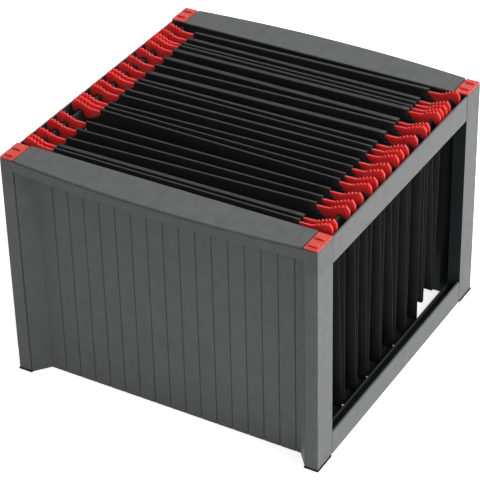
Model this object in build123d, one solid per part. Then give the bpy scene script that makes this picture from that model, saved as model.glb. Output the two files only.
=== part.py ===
"""Suspension-file box: a knock-down plastic frame with corner keys and ten hanging files.

Frame: X runs left to right along the front, Y from front to back, Z up.  The origin is the
middle of the footprint on the ground.  All lengths are in millimetres.
"""
import os
from math import atan2, degrees

from build123d import *

# ---------------------------------------------------------------- overall size
WIDTH = 360.0            # over the posts, left to right
DEPTH = 360.0            # over the posts, front to back
HX = WIDTH / 2
HY = DEPTH / 2

# ---------------------------------------------------------------- fits and walls
FIT = 0.2                # all round a spigot, tongue, peg or bar end in its socket
SEAM = 0.4               # chamfer that shows as a joint line
WALL = 2.4               # frame walls

# ---------------------------------------------------------------- corner posts
POST_X = 14.4
POST_Y = 30.4
POST_IN = HX - POST_X    # inner side face of a post
BLOCK_IN = HY - POST_Y   # back face of a post or corner block
PAD_H = 1.8
PAD_OVER = 1.0           # pad stands out past the outer faces of the post
PAD_IN = 1.5             # and past its inner side; it stops this far short of its back face
FOOT_TOP = 28.0
RAIL_TOP = 262.8
BLOCK_H = 29.1
BLOCK_BOTTOM = RAIL_TOP - BLOCK_H
SPIGOT = 14.0            # how deep the blocks plug into the posts

# ---------------------------------------------------------------- ribbed panels
RECESS = 18.0            # panel face behind the faces of the posts
FLANK_RUN = 15.0         # how far the slanted flanks reach inwards
PANEL_Y = HY - RECESS
PANEL_X = POST_IN - FLANK_RUN
PANEL_T = 3.0
PANEL_BOTTOM = 0.3
GROOVES = 16
LAST_STRIP = 5.0         # left over beside the right-hand flank
GROOVE_PITCH = (2 * PANEL_X - LAST_STRIP) / GROOVES
GROOVE_W = 1.4
GROOVE_D = 1.0

# ---------------------------------------------------------------- top rails, front and back
BOW = 9.0                # the outer edge bows out this much at mid-span
FACE_H = 11.5
TOP_T = 2.5
STIFFENERS = 6
STIFFENER_PITCH = 2 * PANEL_X / (STIFFENERS - 0.2)
STIFFENER_H = 3.0

# ---------------------------------------------------------------- side rails
RIB_INSET = 15.0
RIB_X = HX - RIB_INSET   # centre of the rib the hooks hang on
RIB_T = 3.0
RIB_DROP = 3.0           # rib top below the outer wall top
FLOOR_T = 2.4
TONGUE_X = 7.4
TONGUE_Z = 8.0
TONGUE_L = 10.0
TONGUE_ROOT = 6.0        # how far back along the rail the tongue is rooted
SIDE_LEVELS = {"top": (BLOCK_BOTTOM, RAIL_TOP), "bottom": (0.8, FOOT_TOP)}
FLOOR_ABOVE = 9.3        # channel floor above the bottom edge of the rail
LOW_RIB = 3.0            # upstand on the floor of a bottom rail, which carries no hooks

# ---------------------------------------------------------------- corner keys
KEY_BASE = 0.8           # inset plinth that leaves a shadow line
KEY_INSET = 1.2
KEY_T = 1.6
KEY_OVER = 0.9           # plate's inner edge past the inner side of the post
LUG_X = 10.0
LUG_Y = 5.0
LUG_H = 1.8
LUG_AT = (0.22, 0.67)    # along the post, from its outer end
LUG_IN = 0.455           # across the post, from its inner side
PEG_R = 2.4
PEG_L = 6.0

# ---------------------------------------------------------------- caps of the top rails
CAP_TOP = RAIL_TOP + KEY_BASE + KEY_T    # level with the plates of the keys
CAP_RIM = 0.6            # rim over the shadow groove
CAP_NECK = 2.0           # how far the groove is cut in under the rim
CAP_GAP = 2.2            # between a cap's end and the inner side of a post
CAP_OVER = 1.2           # cap's inner edge past the back face of a post
CAP_LIP = 1.8            # thickness there

# ---------------------------------------------------------------- hanging files
HOOK_T = 2.4
TOOTH_R = 1.25
NOTCH_CLEAR = 0.15       # notch ceiling above the rib
RIB_TOP = RAIL_TOP - RIB_DROP
NOTCH_TOP = RIB_TOP + NOTCH_CLEAR
# Corners of a hook as (out from the rib's centre, up from the rib's top), from the inner tip round.
HOOK_CROWN = (
    (-24.8, 3.6), (-11.5, 3.8), (-8.5, 4.2), (-4.5, 6.2), (-0.6, 7.6), (3.3, 9.0), (7.0, 10.2),
    (9.0, 8.2), (10.1, 4.9), (9.8, -1.3), (8.6, -3.9), (7.0, -4.5), (5.5, -2.8),
)
HOOK_NOTCH = ((2.2, NOTCH_CLEAR), (-2.0, NOTCH_CLEAR))
HOOK_LEG = (
    (-2.8, -1.2), (-3.5, -6.3), (-5.4, -8.0), (-7.6, -8.3), (-11.9, -7.2), (-18.8, -4.2),
    (-20.4, -3.7), (-23.9, 0.3),
)
TEETH = ((-9.9, 5.3), (-6.0, 7.2), (-2.1, 8.9), (1.8, 10.1), (5.7, 11.4))
BAR_END = RIB_X - 24.8   # inner end of a hook, where the places below are given
# Places of the bars from front to back at their right and left ends, as shares of DEPTH.
BAR_RIGHT = (-0.392, -0.369, -0.299, -0.264, -0.221, -0.167, -0.134, -0.092, -0.053, -0.007,
             0.026, 0.054, 0.111, 0.168, 0.191, 0.258, 0.278, 0.301, 0.325, 0.387)
BAR_LEFT = (-0.395, -0.376, -0.332, -0.279, -0.231, -0.156, -0.134, -0.112, -0.057, -0.024,
            0.026, 0.047, 0.093, 0.141, 0.192, 0.245, 0.276, 0.293, 0.326, 0.367)
FOLD_Y = (-0.383, -0.286, -0.183, -0.120, -0.031, 0.038, 0.128, 0.228, 0.285, 0.358)
FOLD_Z = (6.0, 6.0, 6.0, 6.0, 6.0, 6.0, 6.0, 6.0, 22.0, 22.0)
BASE_MIN = 1.6           # least width of the pocket's flat base
CARD_T = 0.5
CARD_X = RIB_X - 8.0
CARD_TOP = RAIL_TOP - 7.4
ROLL_T = 3.0             # the card is rolled over the bar
ROLL_H = 11.1
ROLL_TOP = RAIL_TOP + 3.5
ROLL_X = BAR_END - 0.3
BAR_T = 1.2
BAR_H = 7.2
BAR_TOP = ROLL_TOP - CARD_T - 0.1
TAB_H = 2.8
TAB_TOP = RAIL_TOP - 0.6
TAB_X = BAR_END + 9.8


def slab(x0, x1, y0, y1, z0, z1):
    """Box between two corners."""
    return Pos((x0 + x1) / 2, (y0 + y1) / 2, (z0 + z1) / 2) * Box(x1 - x0, y1 - y0, z1 - z0)


def plan(points, z0, z1):
    """Closed outline seen from above, carried from z0 up to z1."""
    face = make_face(Polyline(*points, close=True))
    return extrude(Pos(0, 0, z0) * face, amount=z1 - z0, dir=(0, 0, 1))


def profile(points, y0, y1):
    """Closed outline seen from the front (x, z), carried from y0 back to y1."""
    face = make_face(Polyline(*[(x, y0, z) for x, z in points], close=True))
    return extrude(face, amount=y1 - y0, dir=(0, 1, 0))


def both_sides(shape):
    """The shape and its copy on the left."""
    return shape + mirror(shape, about=Plane.YZ)


def bowed(inset, z0, z1):
    """Plan of a front rail between the posts, its bowed edge set in by a distance."""
    arc = ThreePointArc((-POST_IN, inset - HY), (0, inset - HY - BOW), (POST_IN, inset - HY))
    back = Polyline((POST_IN, inset - HY), (POST_IN, -BLOCK_IN), (-POST_IN, -BLOCK_IN), (-POST_IN, inset - HY))
    return extrude(Pos(0, 0, z0) * make_face([arc, back]), amount=z1 - z0, dir=(0, 0, 1))


def save(shape, node):
    """Write one node."""
    export_step(shape, "parts/" + node + ".step")


# ---------------------------------------------------------------- front and back panels
def panel():
    """Front panel: grooved sheet, slanted flanks and the two hollow posts."""
    run = POST_IN - PANEL_X
    rise = HY - PANEL_Y
    length = (run ** 2 + rise ** 2) ** 0.5
    off_x = PANEL_T * rise / length
    off_y = PANEL_T * run / length
    top = RAIL_TOP - FACE_H - 0.3
    end_x = POST_IN - 0.3
    end_y = -(PANEL_Y + (end_x - PANEL_X) * rise / run)
    hidden_y = -(PANEL_Y - off_y + (end_x - PANEL_X - off_x) * rise / run)
    bend_x = PANEL_X + off_x - (PANEL_T - off_y) * run / rise
    half = plan(
        [(-0.5, -PANEL_Y), (PANEL_X, -PANEL_Y), (end_x, end_y), (end_x, hidden_y),
         (bend_x, PANEL_T - PANEL_Y), (-0.5, PANEL_T - PANEL_Y)],
        PANEL_BOTTOM, top)
    half -= slab(POST_IN - 1.1, POST_IN, -HY - 1, 1.6 - HY, 0, RAIL_TOP)
    half -= slab(POST_IN - PAD_IN - FIT, POST_IN, -HY, -BLOCK_IN, 0, PAD_H + FIT)
    post = slab(POST_IN, HX, -HY, -BLOCK_IN, FOOT_TOP, BLOCK_BOTTOM)
    post -= slab(POST_IN + WALL, HX - WALL, WALL - HY, -BLOCK_IN - WALL, 0, RAIL_TOP)
    weld = slab(end_x - 0.1, POST_IN + 0.1, 1.7 - HY, hidden_y, FOOT_TOP, BLOCK_BOTTOM)
    shape = both_sides(half + post + weld)
    shape += slab(2 - PANEL_X, PANEL_X - 2, -PANEL_Y, PANEL_T - PANEL_Y, top - 1, RAIL_TOP - TOP_T - 0.4)
    for k in range(1, GROOVES + 1):
        x = k * GROOVE_PITCH - PANEL_X
        half = GROOVE_W / 2
        vee = [(x - half, -PANEL_Y - 0.01), (x + half, -PANEL_Y - 0.01), (x, GROOVE_D - PANEL_Y)]
        shape -= plan(vee, 0, RAIL_TOP)
    return shape


# ---------------------------------------------------------------- blocks and end rails
def block(z0, z1):
    """Right-hand corner block with its two joint edges chamfered."""
    shape = slab(POST_IN, HX, -HY, -BLOCK_IN, z0, z1)
    rim = [e for e in shape.edges() if abs(e.bounding_box().min.Z - e.bounding_box().max.Z) < 0.01]
    joint = FOOT_TOP if z1 == FOOT_TOP else z0
    return chamfer([e for e in rim if abs(e.center().Z - joint) < 0.01], SEAM)


def spigot(z0, z1):
    """Plug that enters the hollow of a right-hand front post."""
    gap = WALL + FIT
    return slab(POST_IN + gap, HX - gap, gap - HY, -BLOCK_IN - gap, z0, z1)


def tongue_box(level, grow):
    """Tongue of a side rail, or its socket when grown by the fit."""
    mid_x = (RIB_X + HX) / 2 - 0.5
    mid_z = SIDE_LEVELS[level][0] + FLOOR_ABOVE + FLOOR_T / 2
    half_x = TONGUE_X / 2 + grow
    half_z = TONGUE_Z / 2 + grow
    tip = -BLOCK_IN - TONGUE_L - grow
    root = -BLOCK_IN if grow else TONGUE_ROOT - BLOCK_IN
    return slab(mid_x - half_x, mid_x + half_x, tip, root, mid_z - half_z, mid_z + half_z)


def peg_places():
    """Where a right-hand front key has its pegs."""
    return [(POST_IN + POST_X * LUG_IN, POST_Y * part - HY) for part in LUG_AT]


def cap():
    """Cap over a front rail, with a shadow groove under its bowed rim and a lip at the back."""
    end = POST_IN - CAP_GAP
    shape = bowed(CAP_NECK, RAIL_TOP - 0.1, CAP_TOP - 0.1) + bowed(0, CAP_TOP - CAP_RIM, CAP_TOP)
    shape &= slab(-end, end, -HY - BOW, -BLOCK_IN, RAIL_TOP - 0.1, CAP_TOP)
    return shape + slab(-end, end, -BLOCK_IN - 1, CAP_OVER - BLOCK_IN, CAP_TOP - CAP_LIP, CAP_TOP)


def top_rail():
    """Front top rail: bowed channel, cap, hidden stiffeners and both corner blocks."""
    low = RAIL_TOP - FACE_H
    under = RAIL_TOP - TOP_T
    shape = bowed(0, low, RAIL_TOP)
    hollow = bowed(WALL, low - 1, under)
    hollow &= slab(WALL - POST_IN, POST_IN - WALL, -HY - BOW, -BLOCK_IN - 2.0, low - 1, under)
    shape -= hollow
    for k in range(STIFFENERS):
        x = (k - (STIFFENERS - 1) / 2) * STIFFENER_PITCH
        inner = slab(x - 1, x + 1, PANEL_T - PANEL_Y + 0.4, -BLOCK_IN - 1, under - STIFFENER_H, under + 0.5)
        outer = slab(x - 1, x + 1, -HY, -PANEL_Y - 0.4, under - STIFFENER_H, under + 0.5)
        shape += inner + outer
    shape += cap()
    corner = block(BLOCK_BOTTOM, RAIL_TOP) + spigot(BLOCK_BOTTOM - SPIGOT, BLOCK_BOTTOM + 0.1)
    corner -= tongue_box("top", FIT)
    for x, y in peg_places():
        corner -= Pos(x, y, RAIL_TOP - PEG_L / 2) * Cylinder(PEG_R + FIT / 2, PEG_L + 1)
    return shape + both_sides(corner)


def foot():
    """Right-hand front foot block with its spigot, rail socket and pad bore."""
    shape = block(PAD_H, FOOT_TOP) + spigot(FOOT_TOP - 0.1, FOOT_TOP + SPIGOT)
    shape -= tongue_box("bottom", FIT)
    x = (POST_IN + HX) / 2
    y = (-HY - BLOCK_IN) / 2
    return shape - Pos(x, y, PAD_H + 1.5) * Cylinder(PEG_R + FIT / 2, 3.4)


def pad():
    """Right-hand front foot pad with its peg."""
    shape = slab(POST_IN - PAD_IN, HX + PAD_OVER, -HY - PAD_OVER, -BLOCK_IN - PAD_IN, 0, PAD_H)
    flat = [e for e in shape.edges() if e.bounding_box().size.Z > PAD_H - 0.1]
    shape = fillet(flat, 1.0)
    x = (POST_IN + HX) / 2
    y = (-HY - BLOCK_IN) / 2
    return shape + Pos(x, y, PAD_H + 1.4) * Cylinder(PEG_R, 3.0)


def side_rail(level):
    """Right-hand side rail: outer wall, channel floor, hanging rib and end tongues."""
    z0, z1 = SIDE_LEVELS[level]
    floor = z0 + FLOOR_ABOVE
    rib = (RIB_X - RIB_T / 2, RIB_X + RIB_T / 2)
    rib_top = z1 - RIB_DROP if level == "top" else floor + FLOOR_T + LOW_RIB
    section = [
        (rib[0], z0), (rib[0] + WALL, z0), (rib[0] + WALL, floor), (HX - WALL, floor),
        (HX - WALL, z0), (HX, z0), (HX, z1), (HX - WALL, z1), (HX - WALL, floor + FLOOR_T),
        (rib[1], floor + FLOOR_T), (rib[1], rib_top), (rib[0], rib_top),
    ]
    shape = profile(section, -BLOCK_IN, BLOCK_IN)
    ends = [e for e in shape.edges() if abs(abs(e.center().Y) - BLOCK_IN) < 0.01 and e.center().X > HX - 0.01]
    shape = chamfer(ends, SEAM)
    tongue = tongue_box(level, 0)
    return shape + tongue + mirror(tongue, about=Plane.XZ)


def key():
    """Right-hand front key plate with lugs on top and pegs below."""
    z = RAIL_TOP + KEY_BASE
    shape = slab(POST_IN - KEY_OVER, HX, -HY, -BLOCK_IN, z, z + KEY_T)
    upright = [e for e in shape.edges() if e.bounding_box().size.Z > KEY_T - 0.1]
    shape = fillet(upright, 0.8)
    shape += slab(POST_IN + KEY_INSET, HX - KEY_INSET, KEY_INSET - HY, -BLOCK_IN - KEY_INSET, RAIL_TOP, z + 0.1)
    for x, y in peg_places():
        lug = Pos(x, y, z + KEY_T + LUG_H / 2 - 0.1) * Box(LUG_X, LUG_Y, LUG_H + 0.2)
        lug = fillet([e for e in lug.edges() if e.bounding_box().size.Z > LUG_H], 1.0)
        shape += lug
        shape += Pos(x, y, RAIL_TOP - PEG_L / 2 + 0.4) * Cylinder(PEG_R, PEG_L)
    return shape


# ---------------------------------------------------------------- hanging files
def bar_place(number):
    """Placement of one bar: middle of its line, turned to join its two end places."""
    right = BAR_RIGHT[number] * DEPTH
    left = BAR_LEFT[number] * DEPTH
    turn = degrees(atan2(right - left, 2 * BAR_END))
    return Pos(0, (right + left) / 2, 0) * Rot(0, 0, turn)


def bar_line(number):
    """Middle and slope of a bar's line, seen from above."""
    right = BAR_RIGHT[number] * DEPTH
    left = BAR_LEFT[number] * DEPTH
    return (right + left) / 2, (right - left) / (2 * BAR_END)


def hook():
    """Right-hand toothed hook, flat in the plane y = 0."""
    outline = [(RIB_X + out, RIB_TOP + up) for out, up in HOOK_CROWN + HOOK_NOTCH + HOOK_LEG]
    shape = profile(outline, -HOOK_T / 2, HOOK_T / 2)
    for out, up in TEETH:
        shape += Pos(RIB_X + out, 0, RIB_TOP + up - TOOTH_R) * Rot(90, 0, 0) * Cylinder(TOOTH_R, HOOK_T)
    grow = FIT / 2
    half = BAR_T / 2 + grow
    return shape - slab(BAR_END - 1, TAB_X + grow, -half, half, TAB_TOP - TAB_H - grow, TAB_TOP + grow)


def bar():
    """Flat steel bar with a narrower tab at each end."""
    half = BAR_T / 2
    body = slab(FIT - ROLL_X, ROLL_X - FIT, -half, half, BAR_TOP - BAR_H, BAR_TOP)
    return body + slab(-TAB_X, TAB_X, -half, half, TAB_TOP - TAB_H, TAB_TOP)


def roll():
    """Top edge of the card, rolled round a bar."""
    shape = slab(-ROLL_X, ROLL_X, -ROLL_T / 2, ROLL_T / 2, ROLL_TOP - ROLL_H, ROLL_TOP)
    crown = [e for e in shape.edges() if e.center().Z > ROLL_TOP - 0.01 and abs(e.center().X) < 1]
    shape = fillet(crown, 1.0)
    low = ROLL_TOP - ROLL_H + CARD_T
    high = ROLL_TOP - CARD_T
    half = ROLL_T / 2 - CARD_T
    return shape - slab(-ROLL_X - 1, ROLL_X + 1, -half, half, low, high)


def pocket_section(file, x):
    """Cross-section of a folder's pocket at one side edge; each leaf is flat and runs along its bar."""
    t = CARD_T
    front, front_slope = bar_line(2 * file)
    back, back_slope = bar_line(2 * file + 1)
    half = (BASE_MIN + abs(back_slope - front_slope) * CARD_X) / 2
    near = front_slope * x
    far = back_slope * x
    fold = FOLD_Y[file] * DEPTH
    z = FOLD_Z[file]
    outer = [(front + near - t / 2, CARD_TOP), (fold + near - half, z),
             (fold + far + half, z), (back + far + t / 2, CARD_TOP)]
    inner = [(back + far - t / 2, CARD_TOP), (fold + far + half - t, z + t),
             (fold + near - half + t, z + t), (front + near + t / 2, CARD_TOP)]
    return make_face(Polyline(*[(x, a, b) for a, b in outer + inner], close=True))


def folder(file):
    """Card pocket hung between two bars, with its upper corners cut away under the hooks."""
    shape = loft([pocket_section(file, -CARD_X), pocket_section(file, CARD_X)], ruled=True)
    high = CARD_TOP + 1
    cut = [(RIB_X - 21.0, high), (RIB_X - 21.0, CARD_TOP), (RIB_X - 19.2, CARD_TOP - 0.4),
           (RIB_X - 12.2, CARD_TOP - 3.5), (CARD_X, CARD_TOP - 4.5),
           (CARD_X + 1, CARD_TOP - 4.5), (CARD_X + 1, high)]
    shape -= both_sides(profile(cut, -HY, HY))
    for number in (2 * file, 2 * file + 1):
        shape += bar_place(number) * roll()
    return shape


def build():
    """Build and write every node."""
    os.makedirs("parts", exist_ok=True)
    for name, part in (("panel", panel()), ("top_rail", top_rail())):
        save(part, "front_" + name)
        save(mirror(part, about=Plane.XZ), "back_" + name)
    for name, part in (("foot_block", foot()), ("foot_pad", pad()), ("corner_key", key())):
        for depth, near in (("front", part), ("back", mirror(part, about=Plane.XZ))):
            save(near, name + "_" + depth + "_right")
            save(mirror(near, about=Plane.YZ), name + "_" + depth + "_left")
    for level in SIDE_LEVELS:
        rail = side_rail(level)
        save(rail, level + "_side_rail_right")
        save(mirror(rail, about=Plane.YZ), level + "_side_rail_left")
    hooks = both_sides(hook())
    steel = bar()
    for file in range(len(FOLD_Y)):
        pair = (2 * file, 2 * file + 1)
        label = f"_{file + 1:02d}"
        save(folder(file), "folder" + label)
        save(Compound([s for n in pair for s in (bar_place(n) * steel).solids()]), "folder_bars" + label)
        save(Compound([s for n in pair for s in (bar_place(n) * hooks).solids()]), "hooks" + label)


build()
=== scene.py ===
"""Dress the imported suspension-file box: moulded frame, corner keys and ten hanging files.

The box is an open knock-down frame of anthracite plastic.  Bowed rails join it at the front and
the back, channel rails join it at the sides, and ten card files hang between the side rails on
toothed hooks.  X runs along the front, Y from front to back and Z up, in metres.
"""
from __future__ import annotations

import logging
import math
from dataclasses import dataclass
from enum import Enum
from typing import Callable, Iterable

import bmesh
import bpy
from mathutils import Matrix, Vector


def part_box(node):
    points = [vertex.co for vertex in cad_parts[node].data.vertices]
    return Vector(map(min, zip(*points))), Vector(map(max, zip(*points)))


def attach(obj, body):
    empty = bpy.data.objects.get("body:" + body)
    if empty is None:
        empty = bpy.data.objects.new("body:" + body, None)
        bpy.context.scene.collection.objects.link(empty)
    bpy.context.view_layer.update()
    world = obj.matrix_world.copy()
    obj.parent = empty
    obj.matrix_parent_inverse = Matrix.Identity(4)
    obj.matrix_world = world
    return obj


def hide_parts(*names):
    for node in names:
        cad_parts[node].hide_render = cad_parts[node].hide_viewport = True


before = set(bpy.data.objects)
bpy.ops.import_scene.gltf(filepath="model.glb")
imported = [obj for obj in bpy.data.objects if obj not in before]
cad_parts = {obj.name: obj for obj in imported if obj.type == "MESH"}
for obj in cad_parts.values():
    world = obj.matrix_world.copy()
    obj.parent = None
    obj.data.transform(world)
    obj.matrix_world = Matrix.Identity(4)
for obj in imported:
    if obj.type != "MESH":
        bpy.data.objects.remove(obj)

LOG = logging.getLogger("suspension_file_box")
MM = 0.001
# A face counts as turned along an axis when its normal has more than this along it.
FACING = 0.5
Point = tuple[float, float]


class Side(Enum):
    """Left or right of the box, as the sign of X."""

    LEFT = -1
    RIGHT = 1


class End(Enum):
    """Front or back of the box, as the sign of Y."""

    FRONT = -1
    BACK = 1


class Level(Enum):
    """Upper or lower side rail, as it stands in the nodes' names."""

    TOP = "top"
    BOTTOM = "bottom"


class Axis(Enum):
    """Axis of the box, as the index of a coordinate."""

    X = 0
    Y = 1
    Z = 2


# ------------------------------------------------------------------ colours and nodes
def linear(code: str) -> tuple[float, float, float, float]:
    """Turn an sRGB hex colour into a linear one.

    Args:
        code: six hex digits, with or without a leading hash.

    Returns:
        Red, green, blue and an alpha of 1.
    """
    digits = code.lstrip("#")
    parts = [int(digits[i:i + 2], 16) / 255 for i in (0, 2, 4)]
    lifted = [c / 12.92 if c <= 0.04045 else ((c + 0.055) / 1.055) ** 2.4 for c in parts]
    return (*lifted, 1.0)


def node(tree: bpy.types.NodeTree, kind: str, settings: dict[str, object] | None = None,
         **links: object) -> bpy.types.Node:
    """Add one shader node with its settings and its inputs.

    Args:
        tree: the node tree to add to.
        kind: the node's bl_idname without the word ShaderNode.
        settings: attributes of the node itself.
        links: input names, with underscores for blanks, or an i and a number.  Each takes a value to set, a
            socket to link, or a node whose first output is linked.

    Returns:
        The new node.
    """
    made = tree.nodes.new("ShaderNode" + kind)
    for name, value in (settings or {}).items():
        setattr(made, name, value)
    for name, value in links.items():
        key: int | str = int(name[1:]) if name[0] == "i" and name[1:].isdigit() else name.replace("_", " ")
        if isinstance(value, bpy.types.Node):
            value = value.outputs[0]
        if isinstance(value, bpy.types.NodeSocket):
            tree.links.new(value, made.inputs[key])
        else:
            made.inputs[key].default_value = value
    return made


# Where most of a noise's values lie.
NOISE_SPAN = {"From_Min": 0.3, "From_Max": 0.7}


def mixed(tree: bpy.types.NodeTree, share: bpy.types.Node, first: object,
          second: object) -> bpy.types.NodeSocket:
    """Blend two colours, from the first at a share of 0 to the second at 1."""
    return node(tree, "Mix", {"data_type": "RGBA"}, i0=share, i6=first, i7=second).outputs[2]


@dataclass(frozen=True)
class Finish:
    """A surface finish: what the material is and how it was made."""

    name: str
    colour: str
    shade: str
    roughness: float
    ior: float
    mottle_mm: float
    grain_mm: float
    grain_depth_mm: float
    specular: float = 0.2
    roughness_swing: float = 0.05

    def coloured(self, tree: bpy.types.NodeTree, place: bpy.types.NodeSocket) -> bpy.types.NodeSocket:
        """Base colour with soft mottling.

        Args:
            tree: the material's nodes.
            place: where the surface is, in the piece's own coordinates.

        Returns:
            The colour's socket.
        """
        cloud = node(tree, "TexNoise", Vector=place, Scale=1 / (self.mottle_mm * MM), Detail=3.0)
        blotch = node(tree, "MapRange", Value=cloud, **NOISE_SPAN)
        return mixed(tree, blotch, linear(self.shade), linear(self.colour))

    def rough(self, tree: bpy.types.NodeTree, place: bpy.types.NodeSocket) -> bpy.types.Node:
        """Roughness that wanders a little over the surface."""
        cloud = node(tree, "TexNoise", Vector=place, Scale=1.6 / (self.mottle_mm * MM), Detail=2.0)
        return self.swung(tree, cloud)

    def swung(self, tree: bpy.types.NodeTree, cloud: bpy.types.Node) -> bpy.types.Node:
        """Roughness that swings round its middle as a noise does."""
        return node(tree, "MapRange", Value=cloud, **NOISE_SPAN, To_Min=self.roughness - self.roughness_swing,
                    To_Max=self.roughness + self.roughness_swing)

    def grained(self, tree: bpy.types.NodeTree, place: bpy.types.NodeSocket) -> bpy.types.Node:
        """Normal with the finish's fine grain."""
        height = node(tree, "TexNoise", Vector=place, Scale=1 / (self.grain_mm * MM), Detail=2.0)
        return node(tree, "Bump", Height=height, Distance=self.grain_depth_mm * MM, Strength=1.0)

    def tune(self, shader: bpy.types.Node) -> None:
        """Set what is even over the whole surface."""
        shader.inputs["IOR"].default_value = self.ior
        shader.inputs["Specular IOR Level"].default_value = self.specular

    def make(self) -> bpy.types.Material:
        """Build the material.

        Returns:
            The finished material.
        """
        material = bpy.data.materials.new(self.name)
        material.use_nodes = True
        tree = material.node_tree
        shader = tree.nodes["Principled BSDF"]
        place = node(tree, "TexCoord").outputs["Object"]
        tree.links.new(self.coloured(tree, place), shader.inputs["Base Color"])
        tree.links.new(self.rough(tree, place).outputs[0], shader.inputs["Roughness"])
        tree.links.new(self.grained(tree, place).outputs[0], shader.inputs["Normal"])
        self.tune(shader)
        return material


@dataclass(frozen=True)
class MouldedPlastic(Finish):
    """Injection-moulded plastic: even colour, satin skin and a spark-eroded grain."""

    coat: float = 0.0
    coat_roughness: float = 0.25
    waxy: float = 0.0
    waxy_depth_mm: float = 1.5

    def tune(self, shader: bpy.types.Node) -> None:
        """Add the thin gloss of a polished mould, and how far light sinks in.

        Args:
            shader: the material's shader.
        """
        super().tune(shader)
        shader.inputs["Coat Weight"].default_value = self.coat
        shader.inputs["Coat Roughness"].default_value = self.coat_roughness
        shader.inputs["Subsurface Weight"].default_value = self.waxy
        shader.inputs["Subsurface Scale"].default_value = self.waxy_depth_mm * MM


@dataclass(frozen=True)
class RailPlastic(MouldedPlastic):
    """The same plastic with faint weld lines, where the melt from two gates met in the top face."""

    weld: str = "#555656"
    weld_pitch_mm: float = 76.0
    weld_width_mm: float = 1.6
    above_mm: float = 264.9

    def coloured(self, tree: bpy.types.NodeTree, place: bpy.types.NodeSocket) -> bpy.types.NodeSocket:
        """Base colour with a slightly darker band along each weld line.

        Args:
            tree: the material's nodes.
            place: where the surface is, in the piece's own coordinates.

        Returns:
            The colour's socket.
        """
        spot = node(tree, "SeparateXYZ", Vector=place)
        away = node(tree, "Math", {"operation": "PINGPONG"}, i0=spot, i1=self.weld_pitch_mm * MM / 2)
        band = node(tree, "MapRange", Value=away, From_Min=0.0, From_Max=self.weld_width_mm * MM,
                    To_Min=1.0, To_Max=0.0)
        top = node(tree, "Math", {"operation": "GREATER_THAN"}, i0=spot.outputs["Z"], i1=self.above_mm * MM)
        weld = node(tree, "Math", {"operation": "MULTIPLY"}, i0=band, i1=top)
        return mixed(tree, weld, super().coloured(tree, place), linear(self.weld))


@dataclass(frozen=True)
class DyedCard(Finish):
    """Pressboard dyed through: matt, with short fibres pressed into the face."""

    fibre_mm: float = 0.9
    fibre_stretch: float = 4.0

    def grained(self, tree: bpy.types.NodeTree, place: bpy.types.NodeSocket) -> bpy.types.Node:
        """Normal with fibres that lie mostly along the folder.

        Args:
            tree: the material's nodes.
            place: where the surface is, in the piece's own coordinates.

        Returns:
            The bump node.
        """
        laid = node(tree, "Mapping", Vector=place, Scale=(1 / self.fibre_stretch, 1.0, 1.0))
        fibres = node(tree, "TexVoronoi", {"feature": "SMOOTH_F1"}, Vector=laid,
                      Scale=1 / (self.fibre_mm * MM))
        felt = node(tree, "TexNoise", Vector=place, Scale=1 / (self.grain_mm * MM), Detail=4.0)
        height = node(tree, "Math", {"operation": "ADD"}, i0=fibres, i1=felt)
        return node(tree, "Bump", Height=height, Distance=self.grain_depth_mm * MM, Strength=0.8)


@dataclass(frozen=True)
class DrawnSteel(Finish):
    """Cold-drawn strip, zinc plated: bright, with draw lines along its length."""

    line_mm: float = 0.4
    line_stretch: float = 50.0

    def rough(self, tree: bpy.types.NodeTree, place: bpy.types.NodeSocket) -> bpy.types.Node:
        """Roughness streaked along the strip.

        Args:
            tree: the material's nodes.
            place: where the surface is, in the piece's own coordinates.

        Returns:
            The roughness node.
        """
        drawn = node(tree, "Mapping", Vector=place, Scale=(1 / self.line_stretch, 1.0, 1.0))
        streak = node(tree, "TexNoise", Vector=drawn, Scale=1 / (self.line_mm * MM), Detail=3.0)
        return self.swung(tree, streak)

    def tune(self, shader: bpy.types.Node) -> None:
        """Make it a metal."""
        super().tune(shader)
        shader.inputs["Metallic"].default_value = 1.0


# Real grains and fibres are a tenth of a millimetre across or less.  Those below are 0.4 mm and more, as
# coarse as they need to be to show.
# ABS moulded in a spark-eroded tool: anthracite, satin, with a fine even grain.
FRAME_ABS = MouldedPlastic("abs_anthracite_moulded", "#686969", "#626363", 0.52, 1.53, 14.0, 0.9, 0.02)
# The same ABS in a long part fed at several gates, which leaves faint lines across the top face.
RAIL_ABS = RailPlastic("abs_anthracite_moulded_rail", "#636464", "#5a5b5b", 0.5, 1.53, 14.0, 0.9, 0.02)
# Near-black ABS laid on the faces turned into the box, on undersides and in the channels: painted shade, for
# the dark that falls inside the box.
PAINTED_SHADE_ABS = MouldedPlastic("abs_black_inner_shell", "#292b2c", "#242627", 0.55, 1.53, 14.0, 0.9, 0.02)
# Polystyrene from a polished tool: bright red with a soft gloss.
KEY_RED = MouldedPlastic("polystyrene_red_keys", "#de4a44", "#d5413b", 0.32, 1.59, 6.0, 0.8, 0.01, coat=0.2)
# Polypropylene from a polished tool: deeper red, and a little waxy.
HOOK_RED = MouldedPlastic("polypropylene_red_hooks", "#ff4c4c", "#fa4343", 0.42, 1.49, 5.0, 0.8, 0.01,
                          coat=0.1, waxy=1.0, waxy_depth_mm=4.0)
# Pressboard dyed black and calendered: matt, dull faces.
CARD_BLACK = DyedCard("pressboard_black_dyed", "#252525", "#202021", 0.85, 1.5, 22.0, 0.7, 0.03, specular=0.1)
# The same board on the crown over each bar, lighter grey: a painted highlight where the rolled top catches
# the light.
CARD_CROWN_HIGHLIGHT = DyedCard("pressboard_rolled_crease", "#434342", "#3a3a3a", 0.75, 1.5, 9.0, 0.6, 0.02)
# The same board where it was guillotined: rougher and greyer.
CARD_CUT = DyedCard("pressboard_cut_edge", "#3c3c3b", "#333332", 0.8, 1.5, 3.0, 0.4, 0.05)
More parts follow.
